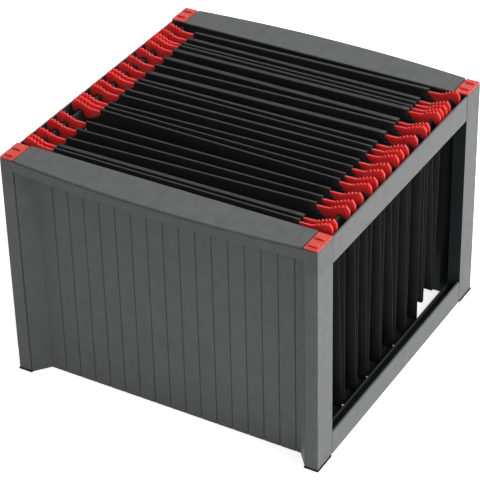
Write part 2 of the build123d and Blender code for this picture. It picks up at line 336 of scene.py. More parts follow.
# Zinc-plated strip: grey metal with draw lines.
BAR_STEEL = DrawnSteel("zinc_plated_steel_strip", "#b9bcbe", "#a6a9ab", 0.35, 1.45, 8.0, 0.5, 0.005,
                       specular=0.5, roughness_swing=0.1)
# Thermoplastic rubber from a blasted tool: nearly black and matt.
PAD_RUBBER = Finish("thermoplastic_rubber_pad", "#1f1f20", "#1a1a1b", 0.8, 1.5, 5.0, 0.6, 0.03, specular=0.15)


# ------------------------------------------------------------------ mesh tools, all in millimetres
def sweep(bm: bmesh.types.BMesh, rings: list[list[Vector]]) -> None:
    """Carry a closed outline through rings of points and close both ends.

    Args:
        bm: the mesh to add to.
        rings: places of the outline's corners at each station, at least two stations.
    """
    layer = bm.verts.layers.int.get("corner") or bm.verts.layers.int.new("corner")
    ring = [bm.verts.new(point) for point in rings[0]]
    for index, vert in enumerate(ring):
        vert[layer] = index
    cap = bm.faces.new(ring)
    for station, points in enumerate(rings[1:], 1):
        made = bmesh.ops.extrude_face_region(bm, geom=[cap])["geom"]
        for vert in (g for g in made if isinstance(g, bmesh.types.BMVert)):
            vert.co = points[vert[layer]]
        if station > 1:
            bmesh.ops.delete(bm, geom=[cap], context="FACES_ONLY")
        cap = next(g for g in made if isinstance(g, bmesh.types.BMFace) and len(g.verts) == len(points)
                   and all(v in made for v in g.verts))


def prism(bm: bmesh.types.BMesh, outline: list[Point], axis: Axis, low: float, high: float) -> None:
    """Add a straight-sided block with a closed outline.

    Args:
        bm: the mesh to add to.
        outline: corners as (x, y) for axis Z, (x, z) for axis Y.
        axis: Z or Y, the way the outline is carried.
        low: where the block begins along the axis.
        high: where it ends.
    """
    sweep(bm, [[Vector((x, other, level) if axis is Axis.Z else (x, level, other)) for x, other in outline]
               for level in (low, high)])


def block(bm: bmesh.types.BMesh, low: Iterable[float], high: Iterable[float]) -> None:
    """Add a block between two corners.

    Args:
        bm: the mesh to add to.
        low: its lowest corner.
        high: its highest corner.
    """
    low, high = Vector(low), Vector(high)
    shape = Matrix.Translation((low + high) / 2) @ Matrix.Diagonal((*(high - low), 1.0))
    bmesh.ops.create_cube(bm, size=1.0, matrix=shape)


def soften(bm: bmesh.types.BMesh, width: float, segments: int = 2, sharp_deg: float = 25.0,
           keep: Callable[[bmesh.types.BMEdge], bool] | None = None) -> None:
    """Round the sharp edges.

    Args:
        bm: the mesh to change.
        width: bevel width.
        segments: faces across each bevel.
        sharp_deg: edges flatter than this stay.
        keep: tells which edges stay sharp.
    """
    bm.normal_update()
    edges = [e for e in bm.edges if e.is_manifold and e.calc_face_angle(0.0) > math.radians(sharp_deg)
             and not (keep and keep(e))]
    bmesh.ops.bevel(bm, geom=edges, offset=width, offset_type="OFFSET", segments=segments, profile=0.5,
                    affect="EDGES", clamp_overlap=True, material=-1)


def tidy(bm: bmesh.types.BMesh) -> None:
    """Merge doubled corners and point every face outwards.

    Args:
        bm: the mesh to change.
    """
    bmesh.ops.remove_doubles(bm, verts=bm.verts, dist=0.002)
    bmesh.ops.dissolve_degenerate(bm, edges=bm.edges, dist=0.001)
    bmesh.ops.recalc_face_normals(bm, faces=bm.faces)


def mirrored(bm: bmesh.types.BMesh, across: Axis) -> None:
    """Turn a mesh into its own mirror image.

    Args:
        bm: the mesh to change.
        across: X swaps left and right, Y swaps front and back.
    """
    scale = Vector((1, 1, 1))
    scale[across.value] = -1
    bmesh.ops.scale(bm, vec=scale, verts=bm.verts)
    bmesh.ops.reverse_faces(bm, faces=bm.faces)


def paint(bm: bmesh.types.BMesh, index: int, chosen: Callable[[bmesh.types.BMFace], bool]) -> None:
    """Give the chosen faces another of the piece's materials.

    Args:
        bm: the mesh to change.
        index: which material.
        chosen: tells which faces get it.
    """
    bm.normal_update()
    for face in bm.faces:
        if chosen(face):
            face.material_index = index


def publish(bm: bmesh.types.BMesh, name: str, finishes: list[bpy.types.Material], body: str, stands_for: str,
            smooth_deg: float = 35.0) -> bpy.types.Object:
    """Turn a mesh in millimetres into a finished piece that rides on a body.

    Args:
        bm: the mesh, which is freed.
        name: name of the piece.
        finishes: its materials.
        body: body that it rides on.
        stands_for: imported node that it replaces.
        smooth_deg: faces that meet flatter than this are shaded as one.

    Returns:
        The new object.
    """
    bmesh.ops.scale(bm, vec=Vector((MM, MM, MM)), verts=bm.verts)
    mesh = bpy.data.meshes.new(name)
    bm.to_mesh(mesh)
    bm.free()
    mesh.polygons.foreach_set("use_smooth", [True] * len(mesh.polygons))
    mesh.set_sharp_from_angle(angle=math.radians(smooth_deg))
    for material in finishes:
        mesh.materials.append(material)
    piece = bpy.data.objects.new(name, mesh)
    bpy.context.scene.collection.objects.link(piece)
    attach(piece, body)
    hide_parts(stands_for)
    LOG.info("%s: %d faces on %s", name, len(mesh.polygons), body)
    return piece


def flatten(piece: bpy.types.Object) -> bpy.types.Object:
    """Let large faces keep their flat shading beside rounded edges.

    Args:
        piece: the piece to change.

    Returns:
        The same piece.
    """
    weights = piece.modifiers.new("flat faces", "WEIGHTED_NORMAL")
    weights.keep_sharp = True
    weights.thresh = 0.3
    return piece


def absorb(target: bmesh.types.BMesh, part: bmesh.types.BMesh, place: Matrix | None = None) -> None:
    """Add one mesh to another and free it.

    Args:
        target: the mesh that grows.
        part: the mesh to add.
        place: where to put it.
    """
    carrier = bpy.data.meshes.new("carrier")
    if place is not None:
        bmesh.ops.transform(part, matrix=place, verts=part.verts)
        if place.determinant() < 0:
            bmesh.ops.reverse_faces(part, faces=part.faces)
    part.to_mesh(carrier)
    part.free()
    target.from_mesh(carrier)
    bpy.data.meshes.remove(carrier)


# ------------------------------------------------------------------ the frame's main lines
@dataclass(frozen=True)
class Lines:
    """Main lines of the frame in millimetres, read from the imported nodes."""

    half_x: float
    half_y: float
    post_in: float
    block_in: float
    panel_bottom: float
    sheet_top: float
    foot_top: float
    block_bottom: float
    rail_top: float
    bow: float
    plate_top: float

    @classmethod
    def read(cls) -> Lines:
        """Work the lines out from the boxes of the nodes.

        Returns:
            The frame's main lines.
        """
        panel_low, panel_high = (Vector(c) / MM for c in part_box("front_panel"))
        foot_low, foot_high = (Vector(c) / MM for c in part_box("foot_block_front_right"))
        side_low, side_high = (Vector(c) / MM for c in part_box("top_side_rail_right"))
        rail_low, rail_high = (Vector(c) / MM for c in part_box("front_top_rail"))
        return cls(
            half_x=panel_high.x, half_y=-panel_low.y, post_in=foot_low.x, block_in=-foot_high.y,
            panel_bottom=panel_low.z, sheet_top=panel_high.z,
            foot_top=Vector(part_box("bottom_side_rail_right")[1]).z / MM, block_bottom=side_low.z,
            rail_top=side_high.z, bow=panel_low.y - rail_low.y, plate_top=rail_high.z)


# ------------------------------------------------------------------ frame parts
@dataclass
class EndPanel:
    """Ribbed panel at one end, with slanted flanks and two posts."""

    lines: Lines
    end: End
    recess: float = 18.0
    flank_run: float = 15.0
    thickness: float = 3.0
    face_height: float = 11.5
    groove_count: int = 16
    groove_width: float = 1.4
    groove_depth: float = 1.0
    last_strip: float = 5.0
    edge_gap: float = 1.1
    gap_depth: float = 1.6
    pad_reach: float = 1.7
    pad_top: float = 2.0
    rail_gap: float = 0.3
    flank_gap: float = 0.3
    overlap: float = 0.01
    plug: float = 2.0
    strip: float = 0.4
    strip_short: float = 0.1
    strip_low: float = 1.0
    softness: float = 0.35

    def groove_places(self) -> list[float]:
        """Work out where the grooves are.

        Returns:
            X of each groove, from left to right.
        """
        edge = self.lines.post_in - self.flank_run
        pitch = (2 * edge - self.last_strip) / self.groove_count
        return [k * pitch - edge for k in range(1, self.groove_count + 1)]

    def grooved_face(self, reach: float) -> list[Point]:
        """Outer line of the sheet from left to right, dipping into each groove.

        Args:
            reach: how far the sheet reaches each side of the middle.

        Returns:
            Points in plan.
        """
        face = self.recess - self.lines.half_y
        half = self.groove_width / 2
        dips = [(x + off, face + depth) for x in self.groove_places()
                for off, depth in ((-half, 0.0), (0.0, self.groove_depth), (half, 0.0))]
        return [(-reach, face), *dips, (reach, face)]

    def flank(self, notched: bool) -> list[Point]:
        """Right-hand flank from its front tip to its inner bend, in plan.

        Args:
            notched: whether the tip is cut back over the foot pad.

        Returns:
            Corners in plan; a cut tip folds flat.
        """
        lines = self.lines
        edge = lines.post_in - self.flank_run
        length = math.hypot(self.flank_run, self.recess)
        across = self.thickness * self.recess / length
        back = self.thickness * self.flank_run / length
        rise = self.recess / self.flank_run
        face = self.recess - lines.half_y
        bend = (edge + across - (self.thickness - back) / rise, face + self.thickness)
        if notched:
            tip = lines.post_in - self.pad_reach
            front = (tip, face - (tip - edge) * rise)
            return [front, front, front, (tip, face + back - (tip - edge - across) * rise), bend]
        tip = lines.post_in - self.edge_gap
        end = lines.post_in - self.flank_gap
        step = self.gap_depth - lines.half_y
        hidden = face + back - (end - edge - across) * rise
        return [(tip, face - (tip - edge) * rise), (tip, step), (end, step), (end, hidden), bend]

    def plan(self, notched: bool) -> list[Point]:
        """Whole outline in plan: grooved sheet and both flanks.

        Args:
            notched: whether the tips are cut back over the foot pads.

        Returns:
            Corners in plan.
        """
        right = self.flank(notched)
        return [*self.grooved_face(self.lines.post_in - self.flank_run), *right,
                *((-x, y) for x, y in reversed(right))]

    def add_post(self, bm: bmesh.types.BMesh, side: Side) -> None:
        """Add a post, the plug that joins it to its neighbours and the strip that joins it to the flank.

        Args:
            bm: the mesh that grows.
            side: which post.
        """
        lines = self.lines
        near, far = sorted((side.value * lines.post_in, side.value * lines.half_x))
        low = Vector((near, -lines.half_y, lines.foot_top))
        high = Vector((far, -lines.block_in, lines.block_bottom))
        inset = Vector((self.plug, self.plug, -self.plug))
        block(bm, low, high)
        block(bm, low + inset, high - inset)
        near, far = sorted(side.value * (lines.post_in + off) for off in (-self.strip, self.strip))
        block(bm, (near, self.gap_depth + self.strip_short - lines.half_y, lines.foot_top + self.strip_low),
              (far, self.flank(False)[3][1] - self.strip_short, lines.block_bottom - self.strip_low))

    def build(self, plastic: bpy.types.Material, inner: bpy.types.Material) -> bpy.types.Object:
        """Build the panel.

        Args:
            plastic: the frame's plastic.
            inner: near-black plastic on its inner face, painted shade.

        Returns:
            The piece.
        """
        lines = self.lines
        edge = lines.post_in - self.flank_run
        under = lines.rail_top - self.face_height - self.rail_gap
        levels = [(lines.panel_bottom, self.plan(True)), (self.pad_top, self.plan(True)),
                  (self.pad_top, self.plan(False)), (under, self.plan(False))]
        bm = bmesh.new()
        sweep(bm, [[Vector((*corner, level)) for corner in plan] for level, plan in levels])
        rear = self.recess + self.thickness - lines.half_y
        reach = edge - self.plug
        sheet = [*self.grooved_face(reach), (reach, rear), (-reach, rear)]
        prism(bm, sheet, Axis.Z, under - self.overlap, lines.sheet_top)
        for side in Side:
            self.add_post(bm, side)
        tidy(bm)
        soften(bm, self.softness, keep=lambda edge: all(abs(v.co.z - under) < 0.05 for v in edge.verts))
        # Faces turned into the box get the near-black plastic: painted shade.
        paint(bm, 1, lambda face: face.normal.y > FACING)
        if self.end is End.BACK:
            mirrored(bm, Axis.Y)
        name = self.end.name.lower()
        return flatten(publish(bm, f"{name}_panel_ribbed", [plastic, inner], "frame", f"{name}_panel"))


@dataclass
class EndRail:
    """Bowed top rail at one end, in one piece with its cap and its two corner blocks."""

    lines: Lines
    end: End
    face_height: float = 11.5
    top_thickness: float = 2.5
    wall: float = 2.4
    inner_lip: float = 2.0
    cap_rim: float = 0.4
    cap_neck: float = 0.7
    cap_gap: float = 2.2
    cap_over: float = 1.2
    cap_lip: float = 1.8
    stiffeners: int = 6
    stiffener_height: float = 3.0
    stiffener_run: float = 15.0
    stiffener_depth: float = 17.6
    stiffener_half: float = 1.0
    stiffener_root: float = 0.5
    stiffener_slack: float = 0.2
    shed: float = 0.9
    arc_steps: int = 36
    softness: float = 0.35
    cap_softness: float = 0.15
    cap_root: float = 0.2
    rim_seen: float = 1.0

    def at(self, x: float, offset: float, height: float, inner: bool = False) -> Vector:
        """Point of a section.

        Args:
            x: place along the rail.
            offset: how far behind the bowed face, or behind the straight inner edge.
            height: height above the ground.
            inner: whether it is measured from the inner edge.

        Returns:
            The point in millimetres.
        """
        lines = self.lines
        share = min(1.0, abs(x) / lines.post_in)
        face = -lines.block_in if inner else -lines.half_y - lines.bow * (1.0 - share ** 2)
        return Vector((x, face + offset, height))

    def stations(self) -> list[tuple[float, bool]]:
        """Work out where the sections are.

        Returns:
            X of each section, and whether the channel below is open there.
        """
        lines = self.lines
        inner = lines.post_in - self.wall
        left = [(-lines.half_x, False), (-lines.post_in, False), (-inner, False), (-inner, True)]
        step = 2 * inner / self.arc_steps
        arc = [(-inner + k * step, True) for k in range(1, self.arc_steps)]
        return [*left, *arc, *((-x, channel) for x, channel in reversed(left))]

    def section(self, channel: bool) -> list[tuple[float, float, bool]]:
        """Section of the rail.

        Args:
            channel: whether the channel below is open; the corners of a closed one fold flat.

        Returns:
            Offset, height and whether the offset counts from the inner edge, for each corner.
        """
        top = self.lines.rail_top
        low = top - self.face_height
        ceiling = top - self.top_thickness if channel else low
        shed = self.shed if channel else 0.0
        return [(0.0, low, False), (0.0, top - shed, False), (shed, top, False), (0.0, top, True),
                (0.0, low, True), (-self.inner_lip, low, True), (-self.inner_lip, ceiling, True),
                (self.wall, ceiling, False), (self.wall, low, False)]

    def body(self) -> bmesh.types.BMesh:
        """Rail with its two corner blocks.

        Returns:
            The rail's mesh.
        """
        lines = self.lines
        low = lines.rail_top - self.face_height
        bm = bmesh.new()
        sweep(bm, [[self.at(x, *corner) for corner in self.section(channel)]
                   for x, channel in self.stations()])
        tidy(bm)
        for side in Side:
            base = [f for f in bm.faces if f.normal.z < -0.9 and abs(f.calc_center_median().z - low) < 0.1
                    and side.value * f.calc_center_median().x > lines.post_in]
            grown = bmesh.ops.extrude_face_region(bm, geom=base)["geom"]
            moved = [g for g in grown if isinstance(g, bmesh.types.BMVert)]
            bmesh.ops.translate(bm, vec=Vector((0, 0, lines.block_bottom - low)), verts=moved)
            bmesh.ops.delete(bm, geom=base, context="FACES")
        tidy(bm)
        bmesh.ops.dissolve_limit(bm, angle_limit=math.radians(0.1), verts=bm.verts, edges=bm.edges)
        soften(bm, self.softness)
        return bm

    def cap(self) -> bmesh.types.BMesh:
        """Cap on the rail: bowed rim over a shadow groove, and a lip at the back.

        Returns:
            The cap's mesh.
        """
        lines = self.lines
        end = lines.post_in - self.cap_gap
        low, rim, top = lines.rail_top - self.cap_root, lines.plate_top - self.cap_rim, lines.plate_top
        section = [(self.cap_neck, low, False), (self.cap_neck, rim, False),
                   (0.0, rim, False), (0.0, top, False),
                   (self.cap_over, top, True), (self.cap_over, top - self.cap_lip, True),
                   (-self.cap_root, top - self.cap_lip, True), (-self.cap_root, low, True)]
        places = [end * (2 * k / self.arc_steps - 1) for k in range(self.arc_steps + 1)]
        bm = bmesh.new()
        sweep(bm, [[self.at(x, *corner) for corner in section] for x in places])
        tidy(bm)
        soften(bm, self.cap_softness)
        return bm

    def add_stiffeners(self, bm: bmesh.types.BMesh) -> None:
        """Add the cross ribs under the top.

        Args:
            bm: the mesh that grows.
        """
        lines = self.lines
        under = lines.rail_top - self.top_thickness
        pitch = 2 * (lines.post_in - self.stiffener_run) / (self.stiffeners - self.stiffener_slack)
        for k in range(self.stiffeners):
            x = (k - (self.stiffeners - 1) / 2) * pitch
            block(bm, (x - self.stiffener_half, -lines.half_y, under - self.stiffener_height),
                  (x + self.stiffener_half, self.stiffener_depth - lines.half_y, under + self.stiffener_root))

    def build(self, plastic: bpy.types.Material, inner: bpy.types.Material) -> bpy.types.Object:
        """Build the rail.

        Args:
            plastic: the rail's plastic.
            inner: near-black plastic on its inner edge, underside and channel, painted shade.

        Returns:
            The piece.
        """
        low = self.lines.rail_top - self.face_height
        bm = self.body()
        self.add_stiffeners(bm)
        # Faces turned into the box, and undersides high in the rail, get the near-black plastic: painted
        # shade.
        paint(bm, 1, lambda face: face.normal.y > FACING or (
            face.normal.z < -FACING and face.calc_center_median().z > low + self.rim_seen))
        absorb(bm, self.cap())
        if self.end is End.BACK:
            mirrored(bm, Axis.Y)
        name = self.end.name.lower()
        return flatten(publish(bm, f"{name}_rail_bowed", [plastic, inner], "frame", f"{name}_top_rail"))


@dataclass
class SideRail:
    """Channel rail at one side; the hooks hang on its rib."""

    lines: Lines
    side: Side
    level: Level
    rib_inset: float = 15.0
    rib: float = 3.0
    rib_drop: float = 3.0
    wall: float = 2.4
    floor_above: float = 9.3
    low_rib: float = 8.0
    bead: tuple[Point, ...] = ((1, 1), (0.65, 0), (0.35, 0), (0, 1))
    joint: float = 0.5
    softness: float = 0.4
    seam: float = 0.3

    def build(self, plastic: bpy.types.Material, inside: bpy.types.Material) -> bpy.types.Object:
        """Build the rail.

        Args:
            plastic: the frame's plastic.
            inside: near-black plastic in its channel and on its rib, painted shade.

        Returns:
            The piece.
        """
        lines = self.lines
        side = self.side.name.lower()
        level = self.level.value
        replaced = f"{level}_side_rail_{side}"
        low, high = (Vector(c).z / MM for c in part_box(replaced))
        outer = lines.half_x
        inner = outer - self.rib_inset - self.rib / 2
        floor = low + self.floor_above
        rib_top = high - self.rib_drop if self.level is Level.TOP else floor + self.wall + self.low_rib
        bead = ((inner + share * self.rib, rib_top - drop) for share, drop in self.bead)
        section = [
            (inner, low), (inner + self.wall, low), (inner + self.wall, floor), (outer - self.wall, floor),
            (outer - self.wall, low), (outer, low), (outer, high), (outer - self.wall, high),
            (outer - self.wall, floor + self.wall), (inner + self.rib, floor + self.wall), *bead]
        bm = bmesh.new()
        end = lines.block_in - self.joint
        prism(bm, section, Axis.Y, -end, end)
        tidy(bm)
        soften(bm, self.softness)
        # The channel, the rib and the inner side get the near-black plastic: painted shade.
        paint(bm, 1, lambda face: face.calc_center_median().x < outer - self.wall + self.seam)
        if self.side is Side.LEFT:
            mirrored(bm, Axis.X)
        return flatten(publish(bm, f"{level}_rail_channel_{side}", [plastic, inside], "frame", replaced))


@dataclass
class Corner:
    """What stands under and over one corner post: foot block, pad and red key."""

    lines: Lines
    side: Side
    end: End
    softness: float = 0.45
    pad_radius: float = 0.8
    plinth: float = 0.8
    plinth_inset: float = 1.2
    plinth_short: float = 0.5
    plate_over: float = 0.9
    plate_radius: float = 0.4
    lug_radius: float = 0.6
    lug: tuple[float, float, float] = (10.0, 5.0, 1.8)
    lug_along: tuple[float, float] = (0.22, 0.67)
    lug_in: float = 0.455

    @property
    def suffix(self) -> str:
        """End and side as they stand in the nodes' names."""
        return f"{self.end.name.lower()}_{self.side.name.lower()}"

    def settle(self, bm: bmesh.types.BMesh) -> None:
        """Turn a front right-hand shape into this corner's.

        Args:
            bm: the mesh to change.
        """
        if self.side is Side.LEFT:
            mirrored(bm, Axis.X)
        if self.end is End.BACK:
            mirrored(bm, Axis.Y)

    def build_foot(self, plastic: bpy.types.Material, inner: bpy.types.Material) -> bpy.types.Object:
        """Build the foot block, near-black where it meets the side rail: painted shade.

        Args:
            plastic: the frame's plastic.
            inner: near-black plastic on its inner face, painted shade.

        Returns:
            The piece.
        """
        lines = self.lines
        low, high = (Vector(c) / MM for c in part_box("foot_block_front_right"))
        bm = bmesh.new()
        block(bm, low, (high.x, high.y, lines.foot_top))
        soften(bm, self.softness)
        # The face turned into the box gets the near-black plastic: painted shade.
        paint(bm, 1, lambda face: face.normal.y > FACING)
        self.settle(bm)
        return flatten(publish(bm, f"foot_{self.suffix}", [plastic, inner], "frame",
                               f"foot_block_{self.suffix}"))

    def build_pad(self, rubber: bpy.types.Material) -> bpy.types.Object:
        """Build the foot pad, with its rounded rim.

        Args:
            rubber: the pad's rubber.

        Returns:
            The piece.
        """
        low, high = (Vector(c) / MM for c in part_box("foot_pad_front_right"))
        thick = Vector(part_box("foot_block_front_right")[0]).z / MM
        bm = bmesh.new()
        block(bm, low, (high.x, high.y, thick))
        soften(bm, self.pad_radius, 3)
        self.settle(bm)
        return flatten(publish(bm, f"pad_{self.suffix}", [rubber], "frame", f"foot_pad_{self.suffix}"))

    def build_key(self, red: bpy.types.Material) -> bpy.types.Object:
        """Build the red key plate with its plinth and two lugs.

        Args:
            red: the key's plastic.

        Returns:
            The piece.
        """
        lines = self.lines
        low = Vector((lines.post_in, -lines.half_y, lines.rail_top))
        high = Vector((lines.half_x, -lines.block_in, lines.plate_top))
        inset = Vector((self.plinth_inset, self.plinth_inset, 0))
        bm = bmesh.new()
        block(bm, low + Vector((-self.plate_over, 0, self.plinth)), high)
        soften(bm, self.plate_radius, 3)
        block(bm, low + inset, high - inset - Vector((0, 0, self.plinth_short)))
        half = Vector((self.lug[0] / 2, self.lug[1] / 2, 0))
        for share in self.lug_along:
            centre = Vector((low.x + self.lug_in * (high.x - low.x), low.y + share * (high.y - low.y),
                             high.z))
            lug = bmesh.new()
            block(lug, centre - half - Vector((0, 0, self.lug_radius)),
                  centre + half + Vector((0, 0, self.lug[2])))
            soften(lug, self.lug_radius, 3)
            absorb(bm, lug)
        self.settle(bm)
        return flatten(publish(bm, f"key_{self.suffix}", [red], "frame", f"corner_key_{self.suffix}"))


# ------------------------------------------------------------------ hanging files
def eased(points: list[Point], passes: int = 2) -> list[Point]:
    """Round the corners of an open line by cutting them again and again.

    Args:
        points: the line.
        passes: how often to cut.

    Returns:
        The eased line, with its ends kept.
    """
    for _ in range(passes):
        cut = [points[0]]
        for (x0, y0), (x1, y1) in zip(points, points[1:]):
            cut += [(near * x0 + (1 - near) * x1, near * y0 + (1 - near) * y1) for near in (0.75, 0.25)]
        points = [*cut, points[-1]]
    return points


@dataclass(frozen=True)
class Course:
    """Straight line across the box, seen from above."""

    middle: float
    slope: float

    def at(self, x: float) -> float:
        """Y of the line at an X."""
        return self.middle + self.slope * x


@dataclass(frozen=True)
class BarLine(Course):
    """Line of one bar, and how wide the card's crown is over it."""

    crown: float

    def placed(self) -> Matrix:
        """Placement that turns a shape built along X onto this bar."""
        return Matrix.Translation((0, self.middle, 0)) @ Matrix.Rotation(math.atan(self.slope), 4, "Z")


@dataclass
class ToothedHook:
    """Red moulded hook at the end of a bar, with its notch over the rib."""

    rib_x: float
    rib_top: float
    thickness: float = 2.4
    softness: float = 0.3
    tooth_radius: float = 1.0
    arc_steps: int = 8
    arm: tuple[Point, ...] = ((-24.8, 3.8), (-11.0, 4.2))
    teeth: tuple[Point, ...] = ((-9.3, 4.6), (-5.4, 6.5), (-1.5, 8.1), (2.4, 9.3), (6.3, 10.35))
    tooth_arcs: tuple[Point, ...] = ((200, -25), (235, -25), (235, -30), (228, -25), (222, 0))
    nose: tuple[Point, ...] = ((7.6, 10.0), (9.5, 8.2), (10.6, 4.9), (10.3, -1.3), (9.1, -3.9), (7.2, -4.5),
                               (5.5, -2.8), (2.2, 0.15))
    leg: tuple[Point, ...] = ((-2.0, 0.15), (-2.8, -1.2), (-3.5, -6.3), (-5.4, -8.0), (-7.6, -8.3),
                              (-11.9, -7.2), (-18.8, -4.2), (-20.4, -3.7), (-23.9, 0.3))
    pips: tuple[Point, ...] = ((-8.5, 0.4), (-4.6, 0.0), (-0.7, 1.8))
    pip_radius: float = 0.55
    pip_height: float = 0.35

    def outline(self) -> list[Point]:
        """Outline seen from the front.

        Returns:
            Corners from the inner tip over the teeth and back under the notch.
        """
        crown: list[Point] = []
        for (x, z), (start, end) in zip(self.teeth, self.tooth_arcs):
            turns = [start + (end - start) * k / self.arc_steps for k in range(self.arc_steps + 1)]
            crown += [(x + self.tooth_radius * math.cos(a), z + self.tooth_radius * math.sin(a))
                      for a in map(math.radians, turns)]
        offsets = [*self.arm, *crown, *eased(list(self.nose)), *eased(list(self.leg))]
        return [(self.rib_x + x, self.rib_top + z) for x, z in offsets]

    def add(self, bm: bmesh.types.BMesh, bar: BarLine) -> None:
        """Add the two hooks of one bar.

        Args:
            bm: the mesh that grows.
            bar: the bar that carries them.
        """
        for side in Side:
            hook = bmesh.new()
            prism(hook, self.outline(), Axis.Y, -self.thickness / 2, self.thickness / 2)
            tidy(hook)
            soften(hook, self.softness, 2, 40.0, keep=self.runs_through)
            self.add_pips(hook)
            if side is Side.LEFT:
                mirrored(hook, Axis.X)
            absorb(bm, hook, bar.placed())

    @staticmethod
    def runs_through(edge: bmesh.types.BMEdge) -> bool:
        """Whether an edge runs straight through the hook."""
        return abs((edge.verts[1].co - edge.verts[0].co).y) > 0.5

    def add_pips(self, bm: bmesh.types.BMesh) -> None:
        """Add the small moulding pips to both faces.

        Args:
            bm: the hook's mesh, which grows.
        """
        flat = Matrix.Diagonal((1.0, self.pip_height / self.pip_radius, 1.0, 1.0))
        for x, z in self.pips:
            for face in (-1, 1):
                place = Matrix.Translation((self.rib_x + x, face * self.thickness / 2, self.rib_top + z))
                bmesh.ops.create_uvsphere(bm, u_segments=10, v_segments=6, radius=self.pip_radius,
                                          matrix=place @ flat)


@dataclass(frozen=True)
class CardPoint:
    """Point of a leaf's section: how far behind its bar, how high, how wide and how far to the fold."""

    aft: float
    height: float
    reach: float
    lean: float = 0.0


@dataclass
class HangingFile:
    """One card file: two bars, four hooks and a folded pocket."""

    number: int
    bars: tuple[BarLine, BarLine]
    feet: tuple[Course, Course]
    foot_z: float
    hook: ToothedHook
    card: float = 0.5
    roll_reach: float = 139.9
    roll_top: float = 266.3
    roll_height: float = 11.1
    roll_aft: float = 0.2
    roll_corner: float = 0.5
    tail_in: float = 0.3
    tail_height: float = 0.9
    leaf_aft: float = -1.5
    fold_height: float = 0.8
    fold: tuple[Point, ...] = ((0.12, 0.12), (0.45, 0.0))
    shoulder: tuple[Point, ...] = ((139.9, 257.0), (141.5, 256.9), (144.0, 256.5), (145.8, 256.1),
                                   (152.8, 253.0), (156.5, 252.0), (157.0, 251.3))
    # Rows of the crown that take the lighter card, a painted highlight.
    crown_highlight_rows: tuple[int, ...] = (3, 4, 5)
    columns: int = 28
    leaf_rows: int = 12
    wave: float = 0.4
    wave_count: float = 1.3
    wave_shift: float = 0.37

    @property
    def body(self) -> str:
        """Body that the file rides on."""
        return f"file_{self.number:02d}"

    @property
    def rows(self) -> int:
        """How many points the card's whole section has."""
        return 2 * len(self.leaf(True))

    def roll(self, bar: BarLine) -> list[CardPoint]:
        """Card round a bar, from its tail at the back over the flat crown to the front.

        Args:
            bar: the bar.

        Returns:
            Points from the tail to the end of the crown's front corner.
        """
        half = (bar.crown - self.card) / 2
        back, front = self.roll_aft + half, self.roll_aft - half
        radius = self.roll_corner - self.card / 2
        top = self.roll_top - self.card / 2
        low = self.roll_top - self.roll_height + self.card / 2
        corners = []
        for middle, start in ((back - radius, 0), (front + radius, 90)):
            turns = [math.radians(start + 30 * k) for k in range(4)]
            corners += [CardPoint(middle + radius * math.cos(a), top - radius + radius * math.sin(a),
                                  self.roll_reach) for a in turns]
        tail = [CardPoint(back - self.tail_in, low, self.roll_reach),
                CardPoint(back, low + self.tail_height, self.roll_reach)]
        return [*tail, *corners]

    def leaf(self, front: bool) -> list[CardPoint]:
        """Section of one leaf.

        Args:
            front: whether it is the file's front leaf.

        Returns:
            Points from the roll's tail down to the pocket's base.
        """
        foot = self.foot_z + self.card / 2
        top = self.shoulder[0][1]
        reach, low = self.shoulder[-1]
        step = (foot + self.fold_height - low) / self.leaf_rows
        fall = [low + step * k for k in range(1, self.leaf_rows + 1)]
        hanging = [(x, z, (top - z) / (top - foot))
                   for x, z in (*self.shoulder, *((reach, z) for z in fall))]
        inward = 1.0 if front else -1.0
        return [*self.roll(self.bars[0 if front else 1]),
                *(CardPoint(self.leaf_aft * (1 - lean), z, x, lean) for x, z, lean in hanging),
                *(CardPoint(inward * fold, foot + rise, reach, 1.0) for fold, rise in self.fold)]

    def place(self, row: int, share: float) -> Vector:
        """Place of a point of the card.

        Args:
            row: index along the card's whole section, from the front roll's tail to the back one's.
            share: place across the card, from -1 at the left to 1 at the right.

        Returns:
            The point in millimetres.
        """
        length = self.rows // 2
        front = row < length
        point = self.leaf(front)[row if front else self.rows - 1 - row]
        bar, foot = (lines[0 if front else 1] for lines in (self.bars, self.feet))
        x = share * point.reach
        turn = self.wave_count * share + self.wave_shift * self.number + (0.5 if front else 0.0)
        sway = math.sin(math.pi * turn)
        swell = 4 * point.lean * (1 - point.lean) * self.wave * sway
        y = bar.at(x) * (1 - point.lean) + foot.at(x) * point.lean + point.aft + swell
        return Vector((x, y, point.height))

    def build_card(self, card: bpy.types.Material, cut: bpy.types.Material,
                   crown_highlight: bpy.types.Material) -> bpy.types.Object:
        """Build the folded card.

        Args:
            card: the card's faces.
            cut: its cut edges.
            crown_highlight: lighter card on the crowns over the bars, a painted highlight.

        Returns:
            The piece.
        """
        last = self.rows - 1
        bm = bmesh.new()
        bmesh.ops.create_grid(bm, x_segments=self.columns, y_segments=last, size=1.0)
        # The crown rows get the lighter card: a painted highlight on the rolled top.
        for face in bm.faces:
            row = int((1 - face.calc_center_median().y) / 2 * last)
            if min(row, last - 1 - row) in self.crown_highlight_rows:
                face.material_index = 2
        for vert in bm.verts:
            vert.co = self.place(round((1 - vert.co.y) / 2 * last), vert.co.x)
        # A rim takes the finish after its face's, so the cut edge follows each of the two.
        piece = publish(bm, f"card_{self.number:02d}", [card, cut, crown_highlight, cut], self.body,
                        f"folder_{self.number:02d}", 40.0)
        shell = piece.modifiers.new("card", "SOLIDIFY")
        shell.thickness = self.card * MM
        shell.offset = 0.0
        shell.use_even_offset = True
        shell.material_offset_rim = 1
        return piece

    def build_hooks(self, red: bpy.types.Material) -> bpy.types.Object:
        """Build the four hooks as one piece.

        Args:
            red: the hooks' plastic.

        Returns:
            The piece.
        """
        bm = bmesh.new()
        for bar in self.bars:
            self.hook.add(bm, bar)
        return publish(bm, f"toothed_hooks_{self.number:02d}", [red], self.body, f"hooks_{self.number:02d}")


